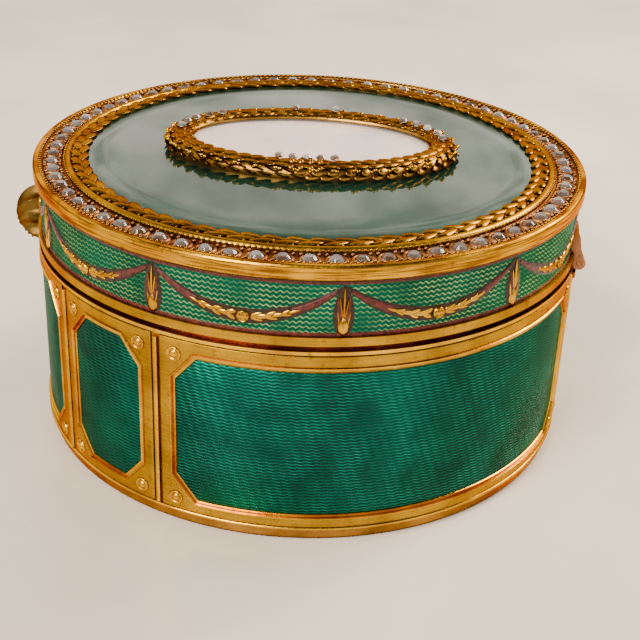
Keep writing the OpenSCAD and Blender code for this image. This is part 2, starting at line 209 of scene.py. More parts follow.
# ---------------------------------------------------------------- material tools
def linear(code):
    """sRGB hex to linear RGBA."""
    channels = [int(code[i:i + 2], 16) / 255 for i in (0, 2, 4)]
    return (*[c / 12.92 if c <= 0.04045 else ((c + 0.055) / 1.055) ** 2.4 for c in channels], 1)


def add(tree, kind, inputs=None, out=0, **settings):
    """Adds a node, sets it up, links what is a socket, and gives back one of its outputs."""
    made = tree.nodes.new(kind)
    for key, value in settings.items():
        setattr(made, key, value)
    for key, value in (inputs or {}).items():
        if isinstance(value, bpy.types.NodeSocket):
            tree.links.new(value, made.inputs[key])
        else:
            made.inputs[key].default_value = value
    return made.outputs[out]


def start(name, **fixed):
    """New material with a Principled shader; fixed holds that shader's constant inputs."""
    mat = bpy.data.materials.new(name)
    mat.use_nodes = True
    tree = mat.node_tree
    shader = tree.nodes["Principled BSDF"]
    for key, value in fixed.items():
        shader.inputs[key.replace("_", " ")].default_value = value
    place = add(tree, "ShaderNodeTexCoord", out="Object")
    return mat, tree, shader, place


def blend_colours(tree, factor, a, b):
    a, b = (linear(c) if isinstance(c, str) else c for c in (a, b))
    return add(tree, "ShaderNodeMix", {"Factor": factor, 6: a, 7: b}, out=2, data_type="RGBA")


def spread(tree, value, low, high, to_low=0.0, to_high=1.0):
    """Stretches the stretch low to high of a value onto another range, clamped."""
    return add(tree, "ShaderNodeMapRange", {"Value": value, "From Min": low, "From Max": high,
                                            "To Min": to_low, "To Max": to_high})


def grain(tree, place, size_mm, detail=2.0, stretch=(1, 1, 1)):
    """Noise whose blotches are about size_mm across."""
    where = add(tree, "ShaderNodeMapping", {"Vector": place, "Scale": stretch})
    return add(tree, "ShaderNodeTexNoise", {"Vector": where, "Scale": 1 / (size_mm * MM),
                                            "Detail": detail})


# ---------------------------------------------------------------- materials
EDGE_GOLD, AGE_SPOT = "F0A820", "6A4210"     # gold seen edge on; brown spots of old gilding


def gilding(name, light, deep, rough=0.22, brush=0.0, darks_and_shade=None, shade_reach_mm=0.5, age=0.5):
    """Fire-gilt brass. The gold's tone drifts over a few millimetres, the skin has handling
    marks and small brown spots where it has aged, brushed bands carry streaks that run round
    the drum, and painted shade, laid where ambient occlusion finds the hollows, darkens them."""
    mat, tree, shader, place = start(name, Metallic=1.0, Specular_Tint=linear(EDGE_GOLD))
    drift = spread(tree, grain(tree, place, 4.0, 4.0), 0.32, 0.68)
    tone = blend_colours(tree, drift, light, deep)
    spots = spread(tree, grain(tree, place, 0.9, 4.0), 0.60, 0.74, 0.0, age)
    tone = blend_colours(tree, spots, tone, darks_and_shade or AGE_SPOT)
    marks = grain(tree, place, 0.30, 3.0)
    sway = grain(tree, place, 1.6, 2.0)
    swell = add(tree, "ShaderNodeBump", {"Strength": 0.55, "Distance": 0.05 * MM,
                                         "Height": sway})
    if brush:
        # lines 0.06 mm apart would vanish, so they are drawn 0.14 mm apart
        lines = grain(tree, place, 0.14, 3.0, (0.03, 0.03, 1))
        streak = spread(tree, lines, 0.42, 0.58, 0.0, brush)
        tone = blend_colours(tree, streak, tone, darks_and_shade or deep)
        bump = add(tree, "ShaderNodeBump", {"Strength": brush, "Distance": 0.03 * MM,
                                            "Height": lines, "Normal": swell})
    else:
        bump = add(tree, "ShaderNodeBump", {"Strength": 0.4, "Distance": 0.015 * MM,
                                            "Height": marks, "Normal": swell})
    # painted shade: ambient occlusion pulls the hollows towards the dark colour
    if darks_and_shade:
        shade = add(tree, "ShaderNodeAmbientOcclusion", {"Distance": shade_reach_mm * MM}, out="AO",
                    samples=6)
        tone = blend_colours(tree, spread(tree, shade, 0.3, 0.85), darks_and_shade, tone)
    tree.links.new(tone, shader.inputs["Base Color"])
    tree.links.new(spread(tree, marks, 0.3, 0.7, rough * 0.7, rough * 1.4),
                   shader.inputs["Roughness"])
    tree.links.new(bump, shader.inputs["Normal"])
    return mat


def math(tree, operation, *values):
    return add(tree, "ShaderNodeMath", dict(enumerate(values)), operation=operation)


def turned_lines(tree, place, pitch, waves, swing, drift):
    """Engine-turned wavy lines that run round the drum: height, -1 to 1, and how steeply the
    line climbs, 0 to 1. drift, in turns a millimetre, moves each wave along from row to row."""
    axes = add(tree, "ShaderNodeSeparateXYZ", {"Vector": place}).node
    turn = math(tree, "ARCTAN2", axes.outputs["X"], math(tree, "MULTIPLY", axes.outputs["Y"], -1.0))
    rise = axes.outputs["Z"]
    row = math(tree, "MULTIPLY", rise, tau * drift / MM)
    phase = math(tree, "MULTIPLY_ADD", turn, float(waves), row)
    slow = math(tree, "MULTIPLY_ADD", turn, float(waves // 3), math(tree, "MULTIPLY", row, -0.6))
    wave = math(tree, "MULTIPLY_ADD", math(tree, "SINE", slow), 0.35, math(tree, "SINE", phase))
    line = math(tree, "MULTIPLY_ADD", wave, swing / pitch * tau,
                math(tree, "MULTIPLY", rise, tau / (pitch * MM)))
    climb = math(tree, "MULTIPLY_ADD", math(tree, "COSINE", phase), 0.5, 0.5)
    return math(tree, "SINE", line), climb


def guilloche_enamel(name, highlight_colour, mid, deep, lines_of, cut=0.3, highlight_strength=0.9, shine=0.6,
                     metal=0.85, depth=1.0, highlight_patch_mm=3.0):
    """Translucent enamel fired over engine-turned metal: the crests of the cuts carry a painted
    highlight, in patches and strongest where a line climbs, the valleys hold the deeper colour
    of thicker enamel darkened further as painted shade, the colour thickens and thins in slow
    clouds, and the glass above lies smooth."""
    mat, tree, shader, place = start(name, Metallic=metal, Roughness=0.38, Coat_Weight=shine,
                                     Coat_Roughness=0.04, Coat_IOR=1.5,
                                     Specular_Tint=linear("6FA893"))
    height, climb = lines_of(tree, place)
    cloud = spread(tree, grain(tree, place, 7.0, 3.0), 0.3, 0.7)
    ground = blend_colours(tree, cloud, mid, deep)
    # painted shade in the valleys, on top of the deeper colour of thicker enamel there
    valley = spread(tree, height, -0.2, -1.0, 0.0, 0.55 * depth)
    ground = blend_colours(tree, valley, ground, deep)
    # painted highlight on the crests, broken into patches and strongest where the line climbs
    highlight_mask = spread(tree, height, 1.0 - 2 * cut, 1.0)
    highlight_patches = spread(tree, grain(tree, place, highlight_patch_mm, 4.0), 0.34, 0.64, 0.12 * highlight_strength, highlight_strength)
    lit_slope = spread(tree, climb, 0.0, 1.0, 0.45, 1.0)
    highlight_mask = math(tree, "MULTIPLY", math(tree, "MULTIPLY", highlight_mask, highlight_patches), lit_slope)
    tree.links.new(blend_colours(tree, highlight_mask, ground, highlight_colour), shader.inputs["Base Color"])
    bump = add(tree, "ShaderNodeBump", {"Strength": 0.6 * depth, "Distance": 0.05 * MM,
                                        "Height": height})
    tree.links.new(bump, shader.inputs["Normal"])
    return mat


def sunburst(tree, place):
    """Engine turning of the top: rays that wave as they run out from the centre."""
    axes = add(tree, "ShaderNodeSeparateXYZ", {"Vector": place}).node
    turn = math(tree, "ARCTAN2", axes.outputs["X"], axes.outputs["Y"])
    far = add(tree, "ShaderNodeVectorMath", {0: place}, out="Value", operation="LENGTH")
    phase = math(tree, "MULTIPLY", far, tau / (1.5 * MM))
    ray = math(tree, "MULTIPLY_ADD", turn, 180.0, math(tree, "MULTIPLY",
                                                       math(tree, "SINE", phase), 1.5))
    climb = math(tree, "MULTIPLY_ADD", math(tree, "COSINE", phase), 0.5, 0.5)
    return math(tree, "SINE", ray), climb


def ribbon_enamel(name, light, deep):
    """Opaque enamel of the ribbons, outlines and border lines, fired a little uneven."""
    mat, tree, shader, place = start(name, Coat_Weight=0.05, Coat_Roughness=0.2,
                                     Specular_IOR_Level=0.3)
    tone = spread(tree, grain(tree, place, 0.4, 4.0), 0.35, 0.65)
    tree.links.new(blend_colours(tree, tone, light, deep), shader.inputs["Base Color"])
    pits = grain(tree, place, 0.25, 3.0)
    tree.links.new(spread(tree, pits, 0.3, 0.7, 0.25, 0.6), shader.inputs["Roughness"])
    bump = add(tree, "ShaderNodeBump", {"Strength": 0.6, "Distance": 0.05 * MM,
                                        "Height": pits})
    tree.links.new(bump, shader.inputs["Normal"])
    return mat


def paste():
    """Foil-backed paste: clear lead glass cut with flat facets."""
    mat, tree, shader, place = start("clear cut paste", Roughness=0.02, IOR=1.62,
                                     Transmission_Weight=0.9)
    tone = spread(tree, grain(tree, place, 2.6, 1.0), 0.36, 0.60)
    tree.links.new(blend_colours(tree, tone, "FFFFFF", "B48E6C"), shader.inputs["Base Color"])
    return mat


def painted_plaque():
    """Cream ground washed with rose and pearl grey under the glass."""
    mat, tree, shader, place = start("painted cream ground", Roughness=0.45)
    cloud = spread(tree, grain(tree, place, 8.0, 3.0), 0.35, 0.65)
    wash = spread(tree, grain(tree, place, 4.0, 3.0, (1, 0.6, 1)), 0.4, 0.7)
    tone = blend_colours(tree, cloud, "F6D2BA", "B6A49C")
    tree.links.new(blend_colours(tree, wash, tone, "E6C9BE"), shader.inputs["Base Color"])
    return mat


def clear_glass():
    """Thin polished crystal over the painting: what it mirrors, and a faint white veil of painted
    reflection.
    """
    mat, tree, shader, place = start("polished crystal", Roughness=0.03, IOR=1.5, Alpha=0.16,
                                     Coat_Weight=1.0, Coat_Roughness=0.02)
    # painted reflection: the white base colour, seen at low alpha, lays a faint cloudy veil
    tone = spread(tree, grain(tree, place, 6.0, 2.0), 0.3, 0.7)
    tree.links.new(blend_colours(tree, tone, "FFFFFF", "F0F2EE"), shader.inputs["Base Color"])
    return mat


def marble():
    """Honed pale stone the box stands on."""
    mat, tree, shader, place = start("honed pale stone", Roughness=0.22, Specular_IOR_Level=0.4)
    cloud = spread(tree, grain(tree, place, 40.0, 5.0), 0.35, 0.7)
    tree.links.new(blend_colours(tree, cloud, "E8DCCC", "D6C6B4"), shader.inputs["Base Color"])
    rub = grain(tree, place, 3.0, 3.0)
    tree.links.new(spread(tree, rub, 0.3, 0.7, 0.18, 0.28), shader.inputs["Roughness"])
    return mat


gilt_satin = gilding("gilded brass, satin band", "EEB424", "BC8418", 0.25, brush=0.85,
                     darks_and_shade="5E3608", shade_reach_mm=0.35)
gilt_cage = gilding("gilded brass, worn satin", "C0931F", "966E14", 0.28, brush=0.18,
                    darks_and_shade="4A2C08", shade_reach_mm=0.4)
gilt_bright = gilding("gilded brass, burnished", "E4B230", "B88018", 0.17, darks_and_shade="6E3E0A",
                      shade_reach_mm=0.3)
gilt_plain = gilding("gilded brass, inside", "D6AC66", "A8824A", 0.36)
gilt_chased = gilding("gilded brass, chased", "AE8038", "74501E", 0.27, darks_and_shade="2C1806",
                      shade_reach_mm=0.7)
gilt_leaf = gilding("gilded brass, garland leaf", "E0AE34", "AE7A18", 0.22, darks_and_shade="40200C",
                    shade_reach_mm=0.4)
gilt_rose = gilding("rose gilt, matt ground", "B08058", "7A4E34", 0.42, darks_and_shade="3A2012",
                    shade_reach_mm=0.6)
gilt_dark = gilding("gilded brass, shadowed", "AE7E44", "7C5428", 0.35)
# painted shade: the thumbpiece's gold is dark brown all over, and its hollows darker still; only the
# dullness, its roughness, comes from handling
gilt_shell = gilding("gilded brass, thumb-dulled, painted dark as shade", "74592A", "3C2C12", 0.40,
                     darks_and_shade="1C1206", shade_reach_mm=1.0)
# each enamel's first colour is the painted highlight on its crests
teal = guilloche_enamel("teal enamel, engine turned", "14A68C", "005A4C", "00362E",
                        lambda t, p: turned_lines(t, p, 0.36, 186, 0.05, 0.33), highlight_strength=0.9,
                        shine=0.10, metal=1.0)
green = guilloche_enamel("green enamel, engine turned", "B6D68C", "08745A", "004A36",
                         lambda t, p: turned_lines(t, p, 0.50, 300, 0.09, 0.0), cut=0.24,
                         highlight_strength=1.0, shine=0.10, metal=1.0)
# the top's own deep green is greyed as painted reflection of the pale room, with a faint painted
# highlight on its rays
top_green = guilloche_enamel("green enamel, engine turned, greyed by painted reflection", "3A6654", "1E4A3C", "163C30",
                             sunburst, cut=0.25, highlight_strength=0.2, shine=0.9, depth=0.15)
maroon = ribbon_enamel("maroon opaque enamel", "642420", "301010")
umber = ribbon_enamel("umber opaque enamel", "341C12", "160C06")
stone_glass = paste()
cream = painted_plaque()
crystal = clear_glass()


# ---------------------------------------------------------------- body
def bays():
    """(middle angle, half arc to the pilasters, half arc of the enamel) of the six panels."""
    front = NARROW_MIDS[0] - NARROW_HALF
    side_lo, side_hi = NARROW_MIDS[0] + NARROW_HALF, NARROW_MIDS[2] - NARROW_HALF
    side_mid, side_half = (side_lo + side_hi) / 2, (side_hi - side_lo) / 2
    halves = [(0, front), (side_mid, side_half), (-side_mid, side_half)]
    halves += [(m, NARROW_HALF) for m in NARROW_MIDS]
    arc = radians(1) * DRUM_R
    return [(m, h * arc, (h - MARGIN) * arc) for m, h in halves]


PANEL_NODES = ("enamel_panel_front", "enamel_panel_right", "enamel_panel_left",
               "enamel_strip_right", "enamel_strip_left", "enamel_strip_back")
PILASTERS = [m + s * NARROW_HALF for m in NARROW_MIDS for s in (-1, 1)]
GROOVE = 0.5            # half width of the groove a pilaster bead lies in
COLUMN = 0.55           # widest column of a sheet bent round the drum


def make_cage():
    """Outer plate of the body: one plate a bay, its window and edges eased."""
    whole = bmesh.new()
    for mid, half, window in bays():
        bm = sheet(half - GROOVE, CAGE_Z0, CAGE_Z1 - 0.2, COLUMN)
        cut_octagon(bm, window, 0.5, keep_inside=False)
        thicken(bm, 1.4)
        soften_front(bm, 0.07)
        join(whole, wrap(bm, DRUM_R, mid))
        bm.free()
    for angle in PILASTERS:
        bm = sheet(GROOVE + 0.1, CAGE_Z0, CAGE_Z1 - 0.2, COLUMN)
        thicken(bm, 1.2)
        join(whole, wrap(bm, DRUM_R - 0.16, angle))
        bm.free()
    join(whole, soften(lathe([(CAGE_IN, CAGE_Z1 - 0.25), (DRUM_R - 0.14, CAGE_Z1 - 0.25),
                              (DRUM_R - 0.14, CAGE_Z1), (CAGE_IN, CAGE_Z1)]), 0.02, 1))
    finish_piece(whole, "cage_plate", gilt_cage, BODY, ["cage_frame"])


def make_panels():
    """Enamel panels, each with its edge rounded down into the frame."""
    for node, (mid, _, window) in zip(PANEL_NODES, bays()):
        bm = sheet(window + 0.2, PANEL_Z0 - 0.2, PANEL_Z1 + 0.2, COLUMN)
        cut_octagon(bm, window, 0.04, keep_inside=True)
        thicken(bm, 1.0)
        soften_front(bm, 0.16)
        wrap(bm, DRUM_R - 0.12, mid)
        finish_piece(bm, "glazed_" + node, teal, BODY, [node])


# moulding from its outer edge in, as (width, rise): line, groove, flat, step to the enamel
MOULDING_STEPS = ((0.06, 0.14), (0.07, 0.0), (0.06, -0.26), (0.05, 0.0), (0.26, 0.06),
                  (0.06, 0.02), (0.10, -0.22))


def make_mouldings():
    """Frame of each opening: a fine raised line, a groove, and a flat that meets the enamel."""
    whole = bmesh.new()
    for mid, _, window in bays():
        bm = sheet(window + 2, PANEL_Z0 - 2, PANEL_Z1 + 2, 4 * window)
        cut_octagon(bm, window, 0.64, keep_inside=True)
        bmesh.ops.dissolve_limit(bm, angle_limit=radians(1), verts=bm.verts, edges=bm.edges)
        face = next(iter(bm.faces))
        runs = [e for e in bm.edges if e.calc_length() > 2 * COLUMN
                and abs(e.verts[0].co.x - e.verts[1].co.x) > COLUMN]
        for edge in runs:
            bmesh.ops.subdivide_edges(bm, edges=[edge], cuts=int(edge.calc_length() / COLUMN))
        bmesh.ops.recalc_face_normals(bm, faces=bm.faces)
        if face.normal.y < 0:
            bmesh.ops.reverse_faces(bm, faces=[face])
        for inward, lift in MOULDING_STEPS:
            bmesh.ops.inset_individual(bm, faces=[face], thickness=inward, depth=lift,
                                       use_even_offset=True)
        bmesh.ops.delete(bm, geom=[face], context="FACES")
        skin = bm.faces[:]
        bmesh.ops.solidify(bm, geom=skin, thickness=0.12)
        join(whole, wrap(bm, DRUM_R, mid))
        bm.free()
    finish_piece(whole, "panel_mouldings_drawn", gilt_bright, BODY,
                 ["panel_mouldings"])


def make_pilaster_beads():
    whole = bmesh.new()
    for angle in PILASTERS:
        bm = bar(6)
        for v in bm.verts:
            x, y, z = v.co
            v.co = Vector((z * 0.27, y * 0.27 - 0.02, (CAGE_Z0 + 0.1 + CAGE_Z1 - 0.5) / 2
                           + x * (CAGE_Z1 - CAGE_Z0 - 0.6) / 2))
        join(whole, wrap(bm, DRUM_R - 0.08, angle))
        bm.free()
    finish_piece(whole, "pilaster_beads_drawn", gilt_bright, BODY,
                 ["pilaster_beads"])


def make_bosses():
    """Rivet-like bosses: a round head inside a fine raised ring."""
    head = lathe([(0.78, -0.02), (0.76, 0.11), (0.68, 0.17), (0.58, 0.13), (0.52, 0.03),
                  (0.42, 0.03), (0.37, 0.14), (0.26, 0.22), (0.12, 0.25), (0, 0.26)],
                 steps=32, closed=False)
    whole = bmesh.new()
    for angle in PILASTERS:
        for side in (-1, 1):
            for z in (PANEL_Z0 - 0.3, PANEL_Z1 + 0.2):
                join(whole, head, on_drum(angle + side * 4.0, DRUM_R - 0.01, z)
                     @ Matrix.Rotation(pi / 2, 4, "X"))
    head.free()
    finish_piece(whole, "panel_bosses_turned", gilt_bright, BODY,
                 ["panel_bosses"], sharp=80)


def make_body_rings():
    """Foot and bead line, each with its edges eased."""
    foot = soften(lathe([(27.4, 0.0), (29.5, 0.0), (29.75, 0.3), (29.78, 0.95), (29.9, FOOT_H),
                         (27.4, FOOT_H)]), 0.08)
    finish_piece(foot, "foot_turned", gilt_chased, BODY, ["foot_ring"])
    line = soften(lathe([(28.4, FOOT_H), (29.95, FOOT_H), (30.12, 1.42), (30.12, 1.58),
                         (29.95, CAGE_Z0), (28.4, CAGE_Z0)]), 0.05)
    finish_piece(line, "foot_bead_turned", gilt_bright, BODY, ["foot_bead"])


# ---------------------------------------------------------------- lid side
def make_lid_bands():
    upper = soften(lathe([(LIP_IN - 0.2, LID_ENAMEL_Z1), (LIP_R - 0.2, LID_ENAMEL_Z1),
                          (LIP_R, LID_ENAMEL_Z1 + 0.22), (LIP_R, LIP_Z - 0.22),
                          (LIP_R - 0.2, LIP_Z), (LIP_IN + 0.2, LIP_Z), (LIP_IN, LIP_Z - 0.18),
                          (LIP_IN, CHANNEL_Z), (LIP_IN - 0.2, CHANNEL_Z)]), 0.06)
    finish_piece(upper, "lid_upper_band_turned", gilt_satin, LID,
                 ["lid_upper_band"])
    glaze = soften(lathe([(SHELL_R, LID_ENAMEL_Z0), (ENAMEL_R, LID_ENAMEL_Z0),
                          (ENAMEL_R, LID_ENAMEL_Z1), (SHELL_R, LID_ENAMEL_Z1)]), 0.03, 1)
    finish_piece(glaze, "lid_band_glazed", green, LID, ["lid_enamel_band"])
    whole = bmesh.new()
    for z0, z1 in ((LID_ENAMEL_Z0, LID_ENAMEL_Z0 + 0.36), (LID_ENAMEL_Z1 - 0.5, LID_ENAMEL_Z1)):
        join(whole, soften(lathe([(ENAMEL_R - 0.1, z0), (ENAMEL_R + 0.05, z0),
                                  (ENAMEL_R + 0.05, z1), (ENAMEL_R - 0.1, z1)]), 0.03, 1))
    finish_piece(whole, "lid_border_lines", maroon, LID)


TIE_Z, SAG = 28.3, 3.45
HALF_SWAG = ENAMEL_R * pi / SWAGS
HINGE_CLEAR = radians(14.4) * ENAMEL_R      # half arc the hinge leaf takes up


def swag_at(t, off=0.0):
    """Point (x, z) and slope on a swag's line, t from -1 to 1, off to its upper side."""
    slope = atan2(2 * SAG * t, HALF_SWAG)
    return t * HALF_SWAG - sin(slope) * off, TIE_Z - SAG * (1 - t * t) + cos(slope) * off, slope


def on_swag(t, off, lift, turn=0.0):
    """Matrix that lays a piece on the swag, its x along the line."""
    x, z, slope = swag_at(t, off)
    return Matrix.Translation((x, lift, z)) @ Matrix.Rotation(-slope - turn, 4, "Y")


def ribbon(t0, t1, width_of, thick, lift=0.0):
    """Strip along the swag's line from t0 to t1, rounded along its edges."""
    bm = bar(28)
    for v in bm.verts:
        along, up, across = v.co
        t = t0 + (t1 - t0) * (along + 1) / 2
        x, z, _ = swag_at(t, across * width_of(t))
        v.co = Vector((x, lift + up * thick, z))
    return bm


# one half of a swag's leaves: place along it, off its line, length, width, splay
SWAG_LEAVES = ((0.135, 0.2, 1.3, 0.52, 0.35), (0.135, -0.2, 1.3, 0.52, -0.35),
               (0.21, 0.0, 1.5, 0.56, 0.0), (0.28, 0.2, 1.3, 0.46, 0.32),
               (0.28, -0.2, 1.3, 0.46, -0.32), (0.36, 0.0, 1.4, 0.48, 0.0),
               (0.43, 0.13, 1.1, 0.38, 0.25), (0.43, -0.13, 1.1, 0.38, -0.25),
               (0.51, 0.0, 1.2, 0.36, 0.0))


def swag_parts():
    """One swag laid flat: umber ground, maroon ribbon, gold leaves and button."""
    ground = ribbon(-0.985, 0.985, lambda t: 0.19 + 0.56 * max(0, 1 - t * t) ** 1.1, 0.08)
    red, gold = bmesh.new(), bmesh.new()
    for side in (-1, 1):
        join(red, ribbon(0.93 * side, 0.5 * side,
                         lambda t: 0.13 + 0.30 * (1 - t * t), 0.10, 0.05))
        join(red, ribbon(0.5 * side, 0.12 * side, lambda t: 0.15, 0.07, 0.06))
        for t, off, length, width, turn in SWAG_LEAVES:
            head = 0 if side > 0 else pi
            leaf(gold, on_swag(side * t, off, 0.1, head + turn), length, width, 0.16)
    x, z, _ = swag_at(0)
    button = lathe([(0.62, 0), (0.61, 0.24), (0.52, 0.32), (0.40, 0.24), (0.30, 0.23),
                    (0.18, 0.32), (0, 0.34)], steps=20, closed=False)
    join(gold, button, Matrix.Translation((x, 0.02, z)) @ Matrix.Rotation(-pi / 2, 4, "X"))
    button.free()
    for i in range(5):
        a = tau * i / 5 + 0.3
        bead(gold, Matrix.Translation((x + 0.36 * cos(a), 0.28, z + 0.36 * sin(a))), 0.09, 1)
    return ground, red, gold


def drop_parts(short):
    """One hanging husk laid flat; a short one is cut off above the hinge leaf."""
    ground, red, gold = bmesh.new(), bmesh.new(), bmesh.new()
    stand = Matrix.Rotation(-pi / 2, 4, "Y")
    if short:
        leaf(ground, Matrix.Translation((0, 0.02, 27.2)) @ stand, 2.6, 1.0, 0.10)
        leaf(gold, Matrix.Translation((0, 0.06, 27.2)) @ stand, 2.2, 0.5, 0.2)
        return ground, red, gold
    low = LID_ENAMEL_Z0
    leaf(ground, Matrix.Translation((0, 0.02, low + 2.65)) @ stand, 5.3, 2.05, 0.09)
    for side in (-1, 1):
        lean = Matrix.Rotation(side * 0.14, 4, "Y")
        leaf(red, Matrix.Translation((side * 0.38, 0.05, low + 2.55)) @ lean @ stand,
             2.9, 0.56, 0.2)
        leaf(gold, Matrix.Translation((side * 0.26, 0.1, low + 3.0)) @ lean @ stand,
             2.2, 0.24, 0.2)
        leaf(gold, Matrix.Translation((side * 0.50, 0.08, low + 1.9)) @ lean @ stand,
             1.6, 0.22, 0.16)
    leaf(gold, Matrix.Translation((0, 0.1, low + 3.5)) @ stand, 3.3, 0.30, 0.24)
    leaf(gold, Matrix.Translation((0, 0.1, low + 1.1)) @ stand, 1.9, 1.05, 0.28)
    return ground, red, gold


def clear_of_hinge(bm, middle):
    """Cuts away what would lie under the hinge leaf, for a piece whose middle is at an angle."""
    shift = radians(180 - middle) * ENAMEL_R
    lo, hi, top = shift - HINGE_CLEAR, shift + HINGE_CLEAR, 25.25
    if lo > HALF_SWAG or hi < -HALF_SWAG:
        return
    for point, normal in (((lo, 0, 0), (1, 0, 0)), ((hi, 0, 0), (1, 0, 0)),
                          ((0, 0, top), (0, 0, 1))):
        bmesh.ops.bisect_plane(bm, geom=bm.verts[:] + bm.edges[:] + bm.faces[:], dist=1e-4,
                               plane_co=point, plane_no=normal)
    gone = [f for f in bm.faces if lo < f.calc_center_median().x < hi
            and f.calc_center_median().z < top]
    bmesh.ops.delete(bm, geom=gone, context="FACES")
    bmesh.ops.holes_fill(bm, edges=[e for e in bm.edges if e.is_boundary], sides=0)


def make_garlands():
    """Swags and hanging husks laid on the enamel band, every tenth of a turn."""
    swag, drop, stub = swag_parts(), drop_parts(False), drop_parts(True)
    layers = [bmesh.new() for _ in range(3)]
    husks = bmesh.new()
    for i in range(SWAGS):
        tie = DROP_PHASE + i * 360 / SWAGS
        middle = tie + 180 / SWAGS
        for layer, part in zip(layers, swag):
            copy = part.copy()
            clear_of_hinge(copy, middle)
            join(layer, wrap(copy, ENAMEL_R, middle))
            copy.free()
        near_hinge = abs(tie - 180) < 13.2
        for j, part in enumerate(stub if near_hinge else drop):
            copy = part.copy()
            join(husks if j == 2 else layers[j], wrap(copy, ENAMEL_R, tie))
            copy.free()
    for name, bm, mat, nodes in (("garland_ground", layers[0], umber, ()),
                                 ("garland_ribbons", layers[1], maroon, ()),
                                 ("garland_leaves", layers[2], gilt_leaf, ("garland_swags",)),
                                 ("garland_husks", husks, gilt_leaf, ("garland_drops",))):
        finish_piece(bm, name, mat, LID, nodes, sharp=60)


# ---------------------------------------------------------------- lid top
def cut_stone():
    """Round stone, ten-sided: pavilion, girdle, and a crown with a bevelled shoulder."""
    bm = bmesh.new()
    for r_low, r_high, z_low, z_high in ((0.62, 1.0, 0.0, 0.30), (1.0, 1.0, 0.3, 0.36),
                                         (1.0, 0.6, 0.36, 0.66)):
        bmesh.ops.create_cone(bm, cap_ends=False, segments=10, radius1=r_low * STONE_R,
                              radius2=r_high * STONE_R, depth=z_high - z_low,
                              matrix=Matrix.Translation((0, 0, (z_low + z_high) / 2)))
    bmesh.ops.remove_doubles(bm, verts=bm.verts, dist=0.001)
    bmesh.ops.holes_fill(bm, edges=[e for e in bm.edges if e.is_boundary], sides=0)
    crown = [e for e in bm.edges if e.verts[0].co.z > 0.34 and
             (e.verts[0].co.z - 0.5) * (e.verts[1].co.z - 0.5) < 0]
    bmesh.ops.bevel(bm, geom=crown, offset=0.1, offset_type="OFFSET", segments=1, profile=0.5,
                    affect="EDGES", material=-1, clamp_overlap=True)
    return bm


def channel_ground():
    """Floor between the cups, turned up where it meets the channel's walls."""
    rise, flat = CHANNEL_Z + 0.34, CHANNEL_Z + 0.22
    return lathe([(CHANNEL_IN, CHANNEL_Z), (LIP_IN, CHANNEL_Z), (LIP_IN, rise),
                  (LIP_IN - 0.3, flat), (CHANNEL_IN + 0.3, flat), (CHANNEL_IN, rise)])


def make_stones():
    """Ring of stones, no two set quite alike, each in its cup with four claws."""
    stone, ground = cut_stone(), channel_ground()
    cup = lathe([(STONE_R - 0.06, 0.0), (STONE_R - 0.03, 0.34), (STONE_R + 0.1, 0.42),
                 (STONE_R + 0.26, 0.34), (STONE_R + 0.40, 0.0)], steps=20)
    stones, claws, seats = bmesh.new(), bmesh.new(), bmesh.new()
    for i in range(STONES):
        angle = STONE_PHASE + i * 360 / STONES
        set_in = (Matrix.Rotation(0.14 * sin(2.4 * i), 4, "X") @ Matrix.Rotation(i * 1.7, 4, "Z")
                  @ Matrix.Scale(0.93 + 0.07 * sin(5.3 * i), 4))
        join(stones, stone, on_drum(angle, STONE_RING_R, CHANNEL_Z + 0.04) @ set_in)
        join(seats, cup, on_drum(angle, STONE_RING_R, CHANNEL_Z))
        for r in (LIP_IN - 0.42, CHANNEL_IN + 0.42):
            for side in (-1, 1):
                bead(claws, on_drum(angle + side * (180 / STONES - 0.75), r, CHANNEL_Z + 0.42)
                     @ Matrix.Diagonal((1, 1, 1.1, 1)), 0.21, 1)
    join(seats, ground)
    stone.free(), cup.free(), ground.free()
    finish_piece(seats, "stone_seats", gilt_rose, LID, sharp=60)
    finish_piece(stones, "rim_stones_cut", stone_glass, LID, ["rim_stones"],
                 sharp=5)
    finish_piece(claws, "stone_claws", gilt_rose, LID, ["stone_grains"],
                 sharp=60)


def make_milgrain():
    """Rows of tiny beads rolled along both edges of the stone channel."""
    whole = bmesh.new()
    count = MILGRAIN
    for i in range(count):
        bead(whole, on_drum(i * 360 / count, LIP_IN + 0.1, LIP_Z - 0.03), 0.19, 1)
        bead(whole, on_drum(i * 360 / count, CHANNEL_IN - 0.06, LIP_Z + 0.02), 0.17, 1)
    finish_piece(whole, "lip_milgrain", gilt_chased, LID, sharp=70)


